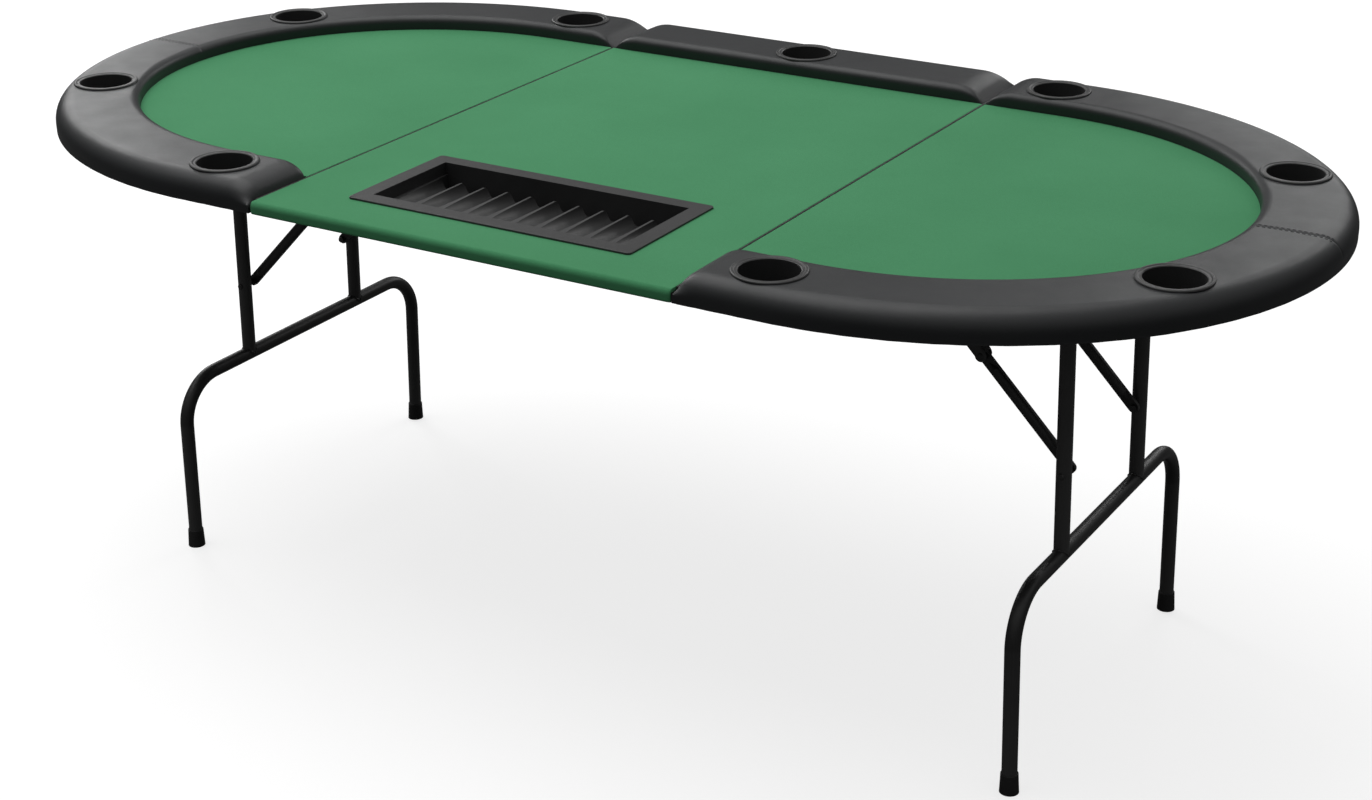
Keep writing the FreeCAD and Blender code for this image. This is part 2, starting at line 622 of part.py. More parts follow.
def tray_grooves(grow, front, back):
    """Half-round grooves; they rise towards the dealer and run out in the top of the ridges."""
    run = back - front
    rise = run * (GROOVE_FRONT_Z - GROOVE_BACK_Z) / (2 * TRAY_OPEN_Y)
    grooves = []
    for index in range(GROOVE_COUNT):
        x = (index - (GROOVE_COUNT - 1) / 2) * GROOVE_PITCH
        near = (x, front - run, GROOVE_FRONT_Z + rise)
        grooves.append(rod(GROOVE_RADIUS + grow, near, (x, back + run, GROOVE_BACK_Z - rise)))
    room = box(-TRAY_OPEN_X, TRAY_OPEN_X, front, back, TRAY_RIDGE_TOP - 2 * GROOVE_RADIUS, TRAY_RIDGE_TOP)
    return [groove.common(room) for groove in grooves]


def tray_space(grow, top):
    """Room inside the chip tray, or with grow = its wall the outside of its bowl."""
    front, back = TRAY_Y - TRAY_OPEN_Y - grow, TRAY_Y + TRAY_OPEN_Y + grow
    pieces = [box(-TRAY_OPEN_X - grow, TRAY_OPEN_X + grow, front, back, TRAY_RIDGE_TOP - grow, top)]
    pieces += tray_grooves(grow, front, back)
    half = TRAY_OPEN_X - 2 * TRAY_WALL + grow
    floor = GROOVE_BACK_Z - GROOVE_RADIUS - grow
    trough_front = TRAY_Y + TRAY_OPEN_Y - RIDGE_END_GAP - grow
    pieces.append(box(-half, half, trough_front, back, floor, TRAY_RIDGE_TOP - grow / 2))
    return join(pieces)


def ridge_end_corners():
    """What is taken off the ridges to round their ends at the back of the tray."""
    end = TRAY_Y + TRAY_OPEN_Y - RIDGE_END_GAP
    y, z = end - RIDGE_END_RADIUS, TRAY_RIDGE_TOP - RIDGE_END_RADIUS
    half = TRAY_OPEN_X - 2 * TRAY_WALL
    corner = box(-half, half, y, end + OVERRUN, z, TRAY_RIDGE_TOP + OVERRUN)
    return corner.cut(rod(RIDGE_END_RADIUS, (-half - OVERRUN, y, z), (half + OVERRUN, y, z)))


def chip_tray():
    """Rim on the felt, and a moulded bowl of half-round grooves that run from front to back."""
    bowl = tray_space(TRAY_WALL, FELT_TOP + TRAY_RIM / 2)
    tray = tray_rim().fuse(bowl).cut(tray_space(0, FELT_TOP + TRAY_RIM + OVERRUN))
    return tray.cut(ridge_end_corners()).removeSplitter()


def tray_hole():
    """Cut-out for the chip tray in the board and the felt."""
    half_x = TRAY_OPEN_X + TRAY_WALL + TRAY_GAP
    half_y = TRAY_OPEN_Y + TRAY_WALL + TRAY_GAP
    return box(-half_x, half_x, TRAY_Y - half_y, TRAY_Y + half_y, BOARD_BOTTOM - OVERRUN, FELT_TOP + OVERRUN)


def keeper_screw_places():
    """Every round-headed screw under the centre panel."""
    right = guide_screw_places(KEEPER_X, -BOLT_Y) + guide_screw_places(KEEPER_X, BOLT_Y)
    return right + [(-x, y, thick) for x, y, thick in right]


def centre_board(cup_hole):
    board = box(-CENTRE_HALF, CENTRE_HALF, BOARD_FRONT, BOARD_BACK, BOARD_BOTTOM, BOARD_TOP)
    tools = [tray_hole(), cup_hole] + pilot_holes(keeper_screw_places())
    return board.cut(compound(tools + both_sides(hinge_screws(-1))))


def centre_felt_pad():
    """Felt and its padding, wrapped over the dealer's edge."""
    felt = box(-CENTRE_HALF, CENTRE_HALF, -HALF_WIDTH, RAIL_FRONT - RAIL_GAP, BOARD_BOTTOM, FELT_TOP)
    felt = fillet_where(felt, FELT_EDGE_RADIUS,
                        lambda edge: lies_at(edge, FELT_TOP) and edge.BoundBox.YMax < BOARD_FRONT)
    board = box(-CENTRE_HALF - OVERRUN, CENTRE_HALF + OVERRUN, BOARD_FRONT, BOARD_BACK,
                BOARD_BOTTOM - OVERRUN, BOARD_TOP)
    for tool in [board, tray_hole()] + both_sides([seam_notch()]):
        felt = felt.cut(tool)
    return felt


def centre_core(cup_hole, growth=0.0):
    """Wooden bar inside the back rail; growth gives the pocket it lies in."""
    half = 2 * SEAM_X - CORE_START + growth
    front = RAIL_FRONT + EDGE_WRAP - growth
    return box(-half, half, front, BOARD_BACK + growth, BOARD_TOP - growth, CORE_TOP).cut(cup_hole)


def centre_rail_pad(cup_hole):
    """Padded back rail of the centre panel, wrapped down over the board's edge."""
    pad = box(-CENTRE_HALF, CENTRE_HALF, RAIL_FRONT, HALF_WIDTH, BOARD_BOTTOM, RAIL_TOP)
    pad = fillet_where(pad, RAIL_OUTER_RADIUS,
                       lambda edge: lies_at(edge, RAIL_TOP) and edge.BoundBox.YMin > HALF_WIDTH - 1)
    pad = fillet_where(pad, RAIL_INNER_RADIUS,
                       lambda edge: lies_at(edge, RAIL_TOP) and edge.BoundBox.YMax < RAIL_FRONT + 1)
    board = box(-CENTRE_HALF - OVERRUN, CENTRE_HALF + OVERRUN, RAIL_FRONT - OVERRUN, BOARD_BACK + CORE_GAP,
                BOARD_BOTTOM - OVERRUN, BOARD_TOP)
    for tool in [board, centre_core(cup_hole, CORE_GAP), cup_hole] + both_sides([seam_notch()]):
        pad = pad.cut(tool)
    return pad


def centre_parts():
    """Everything on the fixed centre panel."""
    place = (0, CUP_BACK_Y)
    cup_hole = cup_holes([place])[0]
    return {
        "center_board": centre_board(cup_hole),
        "center_felt_pad": centre_felt_pad(),
        "center_rail_core": centre_core(cup_hole),
        "center_rail_pad": centre_rail_pad(cup_hole),
        "center_cup_holder": cup_holder(place),
        "chip_tray": chip_tray(),
        "right_hinge_fixed_leaf": hinge_leaf(-1),
        "left_hinge_fixed_leaf": mirrored(hinge_leaf(-1)),
        "right_hinge_pin": hinge_pin(),
        "left_hinge_pin": mirrored(hinge_pin()),
        "center_bolt_keepers": compound(both_sides(bolt_guides(KEEPER_X))),
        "center_screws": compound(upward_screws(keeper_screw_places()) + both_sides(hinge_screws(-1))),
    }


def build():
    parts = centre_parts()
    for section in (leaf_parts(), leg_parts(), brace_parts()):
        for name, shape in section.items():
            parts["right_" + name] = shape
            parts["left_" + name] = mirrored(shape)
    return parts


os.makedirs("parts", exist_ok=True)
for name, shape in build().items():
    shape.exportStep(os.path.join("parts", name + ".step"))
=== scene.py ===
import json
import math

import bmesh
import bpy
import numpy as np
from mathutils import Matrix, Vector


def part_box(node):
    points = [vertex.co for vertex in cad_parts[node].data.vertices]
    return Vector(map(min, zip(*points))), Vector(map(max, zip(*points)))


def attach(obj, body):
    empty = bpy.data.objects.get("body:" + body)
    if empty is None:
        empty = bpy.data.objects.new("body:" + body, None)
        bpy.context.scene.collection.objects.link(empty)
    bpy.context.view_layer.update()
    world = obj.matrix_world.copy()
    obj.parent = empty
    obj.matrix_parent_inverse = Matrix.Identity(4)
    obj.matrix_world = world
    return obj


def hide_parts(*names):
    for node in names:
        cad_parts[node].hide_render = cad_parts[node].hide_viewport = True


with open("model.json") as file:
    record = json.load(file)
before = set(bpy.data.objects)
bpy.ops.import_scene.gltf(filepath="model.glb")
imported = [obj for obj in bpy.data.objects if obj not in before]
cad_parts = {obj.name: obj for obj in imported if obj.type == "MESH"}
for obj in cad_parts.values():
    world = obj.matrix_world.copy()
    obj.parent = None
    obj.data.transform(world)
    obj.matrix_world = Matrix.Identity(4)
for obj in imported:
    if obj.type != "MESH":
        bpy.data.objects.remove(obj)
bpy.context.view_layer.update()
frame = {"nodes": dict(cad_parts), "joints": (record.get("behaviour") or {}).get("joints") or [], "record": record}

# Everything is in metres.  The table stands on Z = 0, X runs along it and the dealer sits at -Y.
MM = 0.001
SIDES = {"right": 1, "left": -1}

# Driving sizes, read from the frame
SEAM_X, _, HINGE_Z = next(j for j in frame["joints"] if j["name"] == "right_leaf_fold")["pos_m"]
LEG_PIVOT = next(j for j in frame["joints"] if j["name"] == "right_leg_fold")["pos_m"]
RAIL_LOW, RAIL_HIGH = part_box("right_rail_pad")
FELT_LOW, FELT_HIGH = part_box("right_felt_pad")
CENTRE_FELT_LOW, CENTRE_FELT_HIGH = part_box("center_felt_pad")
CORE_LOW, CORE_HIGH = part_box("right_rail_core")
TRAY_LOW, TRAY_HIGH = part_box("chip_tray")
HALF_LENGTH = RAIL_HIGH.x
HALF_WIDTH = RAIL_HIGH.y
RAIL_BOTTOM = RAIL_LOW.z
RAIL_TOP = RAIL_HIGH.z
FELT_TOP = FELT_HIGH.z
BOARD_TOP = FELT_LOW.z
BOARD_BOTTOM = RAIL_BOTTOM
STRAIGHT_X = 470 * MM               # the straight sides end here, as in the CAD outline
RAIL_GAP = 0.4 * MM
RAIL_WIDTH = HALF_LENGTH - FELT_HIGH.x - RAIL_GAP
EDGE_WRAP = HALF_LENGTH - CORE_HIGH.x

# Rail cushion
OUTER_RADIUS = 27 * MM
INNER_RADIUS = 11 * MM
CROWN = 1.4 * MM
FLANGE_RADIUS = 50 * MM
CUP_HOLE_RADIUS = 43 * MM
FRONT_RAIL_X = 347 * MM
FRONT_RAIL_LOW_X = 344.4 * MM
FRONT_RAIL_LEAN = 5 * MM
CROWN_SHIFT = 6 * MM                # the crown's peak lies this far inward of the rail's middle
CROWN_FADE = 70 * MM                # the crown dies away over this distance from a cup's flange
TUCK = 0.3 * MM                     # clearance between the cushion's inside and the wooden core
MITRE_GAP = 1.4 * MM
MITRE_START = 0.6 * MM              # the mitre starts to open this far below the hinge line
CUTTER_HEIGHT = 120 * MM            # taller than the rail, so that it cuts right through
CUTTER_SEGMENTS = 96
SEAM_SPREAD = 0.0030                # path value over which the cover's cross seam sinks in
SEAM_DEPTH = 1.1 * MM
END_STEPS = [0, 0.6, 1.6, 3, 5, 7.5, 10.5, 14, 18, 22.5, 27, 32]
FRONT_END = (12 * MM, 4 * MM, 19 * MM)     # how far an end draws in: outer, inner, top
MITRE_END = (8 * MM, 4 * MM, 11 * MM)
FRONT_END_RADIUS = 32 * MM
MITRE_END_RADIUS = 26 * MM
END_DRAW_HEIGHT = 12 * MM           # the outer side draws in fully this far above the board
CAVITY_ROOF = CORE_HIGH.z + 0.2 * MM
SOLID_ROOF = BOARD_TOP + 0.3 * MM
SOLID_END = 24 * MM                 # the cushion is solid this far from an end, hollow round the core beyond
SOLID_MITRE_END = 30 * MM

# Cloth run of the rail covers
PUFF_PRESSURE = 3.0
PUFF_FRAMES = 16
PUFF_CAP = 3 * MM
PUFF_CEILING = 2.4 * MM
HELD_END = 40 * MM

# Felt
NAP_HEIGHT = 0.12 * MM
SKIN = 0.1 * MM                     # clearance between a felt sheet and the planes it lies between
FELT_ROLL = 1.2 * MM
FELT_STEPS = (0.0, 0.3, 0.8, 1.6, 2.8, 4.2)
FELT_FINE_END = 8 * MM              # the even spacing of points starts here, past the fine steps at the seam
FELT_ROWS = 97                      # mesh rows across a leaf's felt, and points along each
FELT_SPANS = 40
FELT_CORNER = 6 * MM
FELT_CORNER_INSET = 2.4 * MM
FELT_EDGE_RADIUS = 8 * MM
FELT_SETBACK = 0.3 * MM             # a leaf's felt starts this far in from its pad at the seam
CENTRE_FELT_SETBACK = 0.2 * MM
FELT_WRAP = 3 * MM                  # thickness of the felt down the dealer's edge
FELT_HEM_END = 34 * MM
FELT_HEM = 1 * MM
FELT_FOLD = 2.5 * MM
TRAY_EDGE = 0.9 * MM
TRAY_LIP = 20 * MM                  # the tray's rim covers the felt's edge by this much

# Stitches, hems, staples and welds
STITCH = 5.0 * MM
STITCH_GAP = 2.6 * MM
SEAM_OFFSET = 0.0062                # path value from the cross seam to its row of stitches
THREAD_RADIUS = 0.45 * MM
HEM_WIDTH = 24 * MM
HEM_THICK = 1.1 * MM
HEM_END_GAP = 6 * MM
CENTRE_HEM_REACH = 0.985            # path value at which the middle rail's hem stops
HEM_SKIN = 0.05 * MM
STAPLE_SPACING = 55 * MM
STAPLE_HALF = 5 * MM
STAPLE_RADIUS = 0.5 * MM
STAPLE_STANDOFF = 0.45 * MM
STAPLE_DEPTH = 1.4 * MM
STAPLE_SHARE = 0.62                 # share of the hem's width at which the staples run
STAPLE_SAMPLES = 1500
WELD_RADIUS = 1.7 * MM
WELD_RIPPLE = 0.3 * MM
WELD_POINTS = 96
TUBE_RADIUS = 11 * MM
CROSSBAR_DROP = 382 * MM
UPRIGHT_Y = 140 * MM
LEG_LEAN = math.atan2(18, 672)

# Studio
FLOOR_HALF = 30
FLOOR_BOUNCE = 0.12
FLOOR_SHADE = 0.42
FLOOR_GLOW = 0.72
SKY_LOW = 0.03
SKY_HIGH = 0.55
SOFTBOXES = (                       # each is place, size and watts
    ((-1.3, 0.2, 4.5), (5.0, 4.0), 116),     # overhead
    ((-4.6, 2.6, 2.6), (1.6, 2.0), 46),      # back left
    ((0.2, 5.2, 2.6), (2.4, 1.4), 34),       # back right
)
AIM = Vector((0, 0, 0.7))
CAMERA_PLACE = (1.773, -2.836, 1.775)
CAMERA_HEADING = math.radians(31.42)
CAMERA_DIP = math.radians(23.67)
CAMERA_ROLL = math.radians(-0.59)
CAMERA_FOCAL = 61.2


def cup_centres(prefix):
    """Plan centres of the cup holders of one panel."""
    centres = []
    for name in sorted(frame["nodes"]):
        if name.startswith(prefix) and "cup_holder" in name:
            low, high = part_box(name)
            centres.append(((low.x + high.x) / 2, (low.y + high.y) / 2))
    return centres


# ---------------------------------------------------------------- mesh helpers

def new_object(name, points, faces):
    """Mesh object from plain points and faces."""
    mesh = bpy.data.meshes.new(name)
    mesh.from_pydata([tuple(p) for p in points], [], faces)
    mesh.validate()
    piece = bpy.data.objects.new(name, mesh)
    bpy.context.scene.collection.objects.link(piece)
    return piece


def smooth(piece, angle):
    """Smooth shading, kept sharp where faces meet at more than the angle in degrees."""
    piece.data.shade_smooth()
    piece.data.set_sharp_from_angle(angle=math.radians(angle))


def grid_cells(rows, columns, wanted=None):
    """Quads of a rows x columns grid of points, numbered row by row."""
    cells = []
    for i in range(rows - 1):
        for j in range(columns - 1):
            if wanted is None or wanted(i, j):
                a = i * columns + j
                cells.append((a, a + columns, a + columns + 1, a + 1))
    return cells


def thick_sheet(name, outer, inner, cells):
    """Closed solid between two copies of one patch of cells; every free edge gets a wall."""
    count = len(outer)
    used = {}                       # a dictionary keeps the order of the edges
    for cell in cells:
        for a, b in zip(cell, cell[1:] + cell[:1]):
            used[(a, b)] = True
    faces = list(cells) + [tuple(index + count for index in reversed(cell)) for cell in cells]
    faces += [(b, a, a + count, b + count) for a, b in used if (b, a) not in used]
    piece = new_object(name, np.vstack([outer, inner]), faces)
    shell = bmesh.new()
    shell.from_mesh(piece.data)
    loose = [v for v in shell.verts if not v.link_faces]
    bmesh.ops.delete(shell, geom=loose, context="VERTS")
    bmesh.ops.recalc_face_normals(shell, faces=shell.faces)
    shell.to_mesh(piece.data)
    shell.free()
    return piece


def mirrored_copy(piece, name):
    """The same piece on the other side of the plane X = 0."""
    copy = bpy.data.objects.new(name, piece.data.copy())
    copy.data.transform(Matrix.Scale(-1, 4, Vector((1, 0, 0))))
    copy.data.flip_normals()
    bpy.context.scene.collection.objects.link(copy)
    return copy


def activate(piece):
    """Make the piece the only selected and active object."""
    bpy.ops.object.select_all(action="DESELECT")
    piece.select_set(True)
    bpy.context.view_layer.objects.active = piece


def apply_modifiers(piece):
    activate(piece)
    for modifier in list(piece.modifiers):
        bpy.ops.object.modifier_apply(modifier=modifier.name)


def cut_holes(piece, centres):
    """Cut round holes right through a cushion for its cup holders."""
    cutter_mesh = bmesh.new()
    for x, y in centres:
        place = Matrix.Translation((x, y, (RAIL_BOTTOM + RAIL_TOP) / 2))
        bmesh.ops.create_cone(cutter_mesh, cap_ends=True, segments=CUTTER_SEGMENTS,
                              radius1=CUP_HOLE_RADIUS, radius2=CUP_HOLE_RADIUS,
                              depth=CUTTER_HEIGHT, matrix=place)
    mesh = bpy.data.meshes.new("cutter")
    cutter_mesh.to_mesh(mesh)
    cutter_mesh.free()
    cutter = bpy.data.objects.new("cutter", mesh)
    bpy.context.scene.collection.objects.link(cutter)
    modifier = piece.modifiers.new("holes", "BOOLEAN")
    modifier.operation = "DIFFERENCE"
    modifier.solver = "EXACT"
    modifier.object = cutter
    apply_modifiers(piece)
    bpy.data.objects.remove(cutter)


# ---------------------------------------------------------------- padded rail

def notch_x(z):
    """Distance of a mitred rail end from the middle of the table at height z."""
    return SEAM_X + MITRE_GAP + max(0.0, z - HINGE_Z + MITRE_START)


def rail_profile():
    """Section of the cover from the outer bottom edge over the top to the inner bottom edge.

    Each point is (distance in from the outline, height)."""
    points = [(0.0, z) for z in np.linspace(RAIL_BOTTOM, RAIL_TOP - OUTER_RADIUS, 6)]
    for angle in np.linspace(0, math.pi / 2, 12)[1:]:
        points.append((OUTER_RADIUS * (1 - math.cos(angle)),
                       RAIL_TOP - OUTER_RADIUS * (1 - math.sin(angle))))
    points += [(d, RAIL_TOP) for d in np.linspace(OUTER_RADIUS, RAIL_WIDTH - INNER_RADIUS, 26)[1:]]
    for angle in np.linspace(0, math.pi / 2, 8)[1:]:
        points.append((RAIL_WIDTH - INNER_RADIUS * (1 - math.sin(angle)),
                       RAIL_TOP - INNER_RADIUS * (1 - math.cos(angle))))
    points += [(RAIL_WIDTH, z) for z in np.linspace(RAIL_TOP - INNER_RADIUS, SOLID_ROOF, 5)[1:]]
    return np.array(points)


def end_share(distance, radius):
    """How far a rounded end has drawn in at this distance from it: 1 at the end, 0 past the radius."""
    left = np.clip(1 - distance / radius, 0, 1)
    return 1 - np.sqrt(1 - left * left)


def crown_height(x, y, d, centres):
    """Foam crown between the cup holders; it dies away at the edges and round each flange."""
    middle = RAIL_WIDTH / 2 + CROWN_SHIFT
    across = np.clip(1 - ((d - middle) / (RAIL_WIDTH / 2)) ** 2, 0, 1)
    nearest = min(math.hypot(x - cx, y - cy) for cx, cy in centres)
    away = np.clip((nearest - FLANGE_RADIUS) / CROWN_FADE, 0, 1)
    return CROWN * across * away * away * (3 - 2 * away)


def squeezed(d, z, share, depth):
    """Profile point after a rounded end has drawn it in by depth = (outer, inner, top)."""
    outer, inner, top = (amount * share for amount in depth)
    outer *= min(max((z - BOARD_TOP) / END_DRAW_HEIGHT, 0), 1)
    d = outer + d * (RAIL_WIDTH - outer - inner) / RAIL_WIDTH
    if z > BOARD_TOP:
        z = BOARD_TOP + (z - BOARD_TOP) * (1 - top / (RAIL_TOP - BOARD_TOP))
    return d, z


def rail_shell(name, stations, place, centres, seam_at=None):
    """Sweep the cover's section along a rail; place(path, d, z) gives x, y.

    Each station is (path value, share of the end's draw, depth of that draw, roof of the cavity)."""
    profile = rail_profile()
    outer, inner = [], []
    for path, share, depth, roof in stations:
        for d0, z0 in profile:
            d, z = squeezed(d0, z0, share, depth)
            x, y = place(path, d, z)
            if z0 > RAIL_TOP - 0.1 * MM:
                z += crown_height(x, y, d0, centres) * (1 - share)
            if seam_at is not None:
                groove = SEAM_DEPTH * math.exp(-((path - seam_at) / SEAM_SPREAD) ** 2)
                z -= groove if z0 > RAIL_TOP - OUTER_RADIUS else 0
            outer.append((x, y, z))
            inside = min(max(d, EDGE_WRAP - TUCK), RAIL_WIDTH - EDGE_WRAP + TUCK)
            z_in = min(z, roof)
            x, y = place(path, inside, z_in)
            inner.append((x, y, z_in))
    cells = grid_cells(len(stations), len(profile))
    return thick_sheet(name, np.array(outer), np.array(inner), cells)


def leaf_rail_stations():
    """Path values run -2..-1 along the front, -1..1 round the end and 1..2 along the back."""
    straight = STRAIGHT_X - FRONT_RAIL_X
    ends = [step * MM / straight for step in END_STEPS]
    more = list(np.linspace(ends[-1], 1, 12)[1:])
    turn = np.linspace(-1, 1, 121)
    near = np.array([-6, -3.5, -2, -1, -0.4, 0, 0.4, 1, 2, 3.5, 6]) * SEAM_SPREAD / 2
    turn = sorted(set(np.round(np.concatenate([turn[np.abs(turn) > 0.010], near]), 6)))
    stations = []
    for share in ends + more:
        distance = share * straight
        roof = CAVITY_ROOF if distance > SOLID_END else SOLID_ROOF
        stations.append((-2 + share, end_share(distance, FRONT_END_RADIUS), FRONT_END, roof))
    stations += [(value, 0.0, FRONT_END, CAVITY_ROOF) for value in turn[1:-1]]
    for share in reversed(ends + more):
        distance = share * straight
        roof = CAVITY_ROOF if distance > SOLID_MITRE_END else SOLID_ROOF
        stations.append((2 - share, end_share(distance, MITRE_END_RADIUS), MITRE_END, roof))
    return stations


def front_rail_x(z):
    """Where the front rail starts beside the dealer's place: tight to the seam below, leaning back above."""
    step = min(max((z - BOARD_TOP + 2 * MM) / (6 * MM), 0), 1)
    lean = max(0.0, z - FELT_TOP) / (RAIL_TOP - FELT_TOP)
    return FRONT_RAIL_LOW_X + (FRONT_RAIL_X - FRONT_RAIL_LOW_X) * step + FRONT_RAIL_LEAN * lean


def leaf_rail_place(path, d, z):
    """Plan position on the right-hand rail."""
    side = HALF_WIDTH - d
    if path <= -1:
        start = front_rail_x(z)
        return start + (STRAIGHT_X - start) * (path + 2), -side
    if path >= 1:
        start = notch_x(z)
        return start + (STRAIGHT_X - start) * (2 - path), side
    angle = path * math.pi / 2
    return STRAIGHT_X + (HALF_LENGTH - STRAIGHT_X - d) * math.cos(angle), side * math.sin(angle)


def centre_rail_stations():
    """Path values run -1..1 between the two mitred ends of the back rail."""
    ends = [step * MM / SEAM_X for step in END_STEPS]
    half = ends + list(np.linspace(ends[-1], 1, 30)[1:])
    values = sorted(set([round(-1 + value, 6) for value in half] + [round(1 - value, 6) for value in half]))
    stations = []
    for value in values:
        distance = (1 - abs(value)) * SEAM_X
        roof = CAVITY_ROOF if distance > SOLID_END else SOLID_ROOF
        stations.append((value, end_share(distance, MITRE_END_RADIUS), MITRE_END, roof))
    return stations


def centre_rail_place(path, d, z):
    """Plan position on the straight back rail of the middle panel."""
    return path * (2 * SEAM_X - notch_x(z)), HALF_WIDTH - d


def puff(piece, centres):
    """Let the cover relax over its foam: a short cloth run, held at its edges, ends and cup holders."""
    rest = np.array([v.co for v in piece.data.vertices])
    hold = piece.vertex_groups.new(name="hold")
    for index, (x, y, z) in enumerate(rest):
        near_cup = min(math.hypot(x - cx, y - cy) for cx, cy in centres) < FLANGE_RADIUS + 2 * MM
        near_end = abs(abs(x) - SEAM_X) < HELD_END
        fixed = z < FELT_TOP + 1 * MM or near_cup or near_end or index >= len(rest) // 2
        hold.add([index], 1.0 if fixed else 0.0, "REPLACE")
    cloth = piece.modifiers.new("cloth", "CLOTH")
    cloth.settings.vertex_group_mass = "hold"
    cloth.settings.use_pressure = True
    cloth.settings.uniform_pressure_force = PUFF_PRESSURE
    cloth.settings.effector_weights.gravity = 0
    cloth.settings.tension_stiffness = 20
    cloth.settings.compression_stiffness = 20
    cloth.settings.bending_stiffness = 0.6
    cloth.settings.shrink_min = -0.012
    cloth.settings.quality = 6
    cloth.collision_settings.use_collision = False
    cloth.point_cache.frame_start = 1
    cloth.point_cache.frame_end = PUFF_FRAMES
    for step in range(1, PUFF_FRAMES + 1):
        bpy.context.scene.frame_set(step)
    graph = bpy.context.evaluated_depsgraph_get()
    moved = np.array([v.co for v in piece.evaluated_get(graph).data.vertices])
    piece.modifiers.remove(cloth)
    piece.vertex_groups.remove(hold)
    bpy.context.scene.frame_set(1)
    shift = moved - rest
    length = np.linalg.norm(shift, axis=1, keepdims=True)
    shift *= np.minimum(1, PUFF_CAP / np.maximum(length, 1e-9))
    final = rest + shift
    final[:, 2] = np.minimum(final[:, 2], RAIL_TOP + PUFF_CEILING)
    piece.data.vertices.foreach_set("co", final.astype(np.float32).ravel())
    piece.data.update()


def build_rails():
    """The three covered rails, each in place of its plain CAD pad."""
    right_cups = cup_centres("right_")
    right = rail_shell("right_rail_cover", leaf_rail_stations(), leaf_rail_place, right_cups, seam_at=0.0)
    puff(right, right_cups)
    left = mirrored_copy(right, "left_rail_cover")
    centre_cups = cup_centres("center_")
    centre = rail_shell("center_rail_cover", centre_rail_stations(), centre_rail_place, centre_cups)
    puff(centre, centre_cups)
    cut_holes(right, right_cups)
    cut_holes(left, cup_centres("left_"))
    cut_holes(centre, centre_cups)
    for piece, body, node in ((right, "right_leaf", "right_rail_pad"), (left, "left_leaf", "left_rail_pad"),
                              (centre, "center_panel", "center_rail_pad")):
        smooth(piece, 50)
        piece.data.materials.append(MATERIALS["rail_cover"])
        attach(piece, body)
        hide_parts(node)
    for name, cover in (("right", right), ("left", left)):
        strands(name + "_rail_stitches", seam_stitches(cover, SIDES[name]), THREAD_RADIUS, "rail_cover",
                name + "_leaf")


# ---------------------------------------------------------------- felt

def rolled(distance):
    """Drop of the felt's surface this far from its rolled edge."""
    left = np.clip(1 - distance / FELT_ROLL, 0, 1)
    return FELT_ROLL * (1 - math.sqrt(1 - left * left))


def nap_swell(x, y):
    """Very slight unevenness of the foam under the felt."""
    long_waves = math.sin(17 * x + 3) * math.cos(13 * y)
    short_waves = 0.5 * math.sin(41 * x) * math.sin(37 * y + 1)
    return NAP_HEIGHT * (long_waves + short_waves)


def leaf_felt():
    """Half-oval felt of the right-hand leaf, rolled over at the seam."""
    edge = FELT_LOW.x + FELT_SETBACK
    along, across = FELT_HIGH.x - STRAIGHT_X, FELT_HIGH.y
    angles = np.linspace(-math.pi / 2, math.pi / 2, FELT_ROWS)
    outer, inner = [], []
    shares = [step * MM for step in FELT_STEPS]
    for angle in angles:
        far = STRAIGHT_X + along * math.cos(angle)
        y = across * math.sin(angle)
        for value in shares + list(np.linspace(FELT_FINE_END, far - edge, FELT_SPANS)):
            x = edge + value
            z = FELT_TOP - rolled(value) - SKIN + nap_swell(x, y)
            outer.append((x, y, z))
            inner.append((x, y, BOARD_TOP + SKIN))
    cells = grid_cells(len(angles), len(shares) + FELT_SPANS)
    return thick_sheet("right_felt", np.array(outer), np.array(inner), cells)


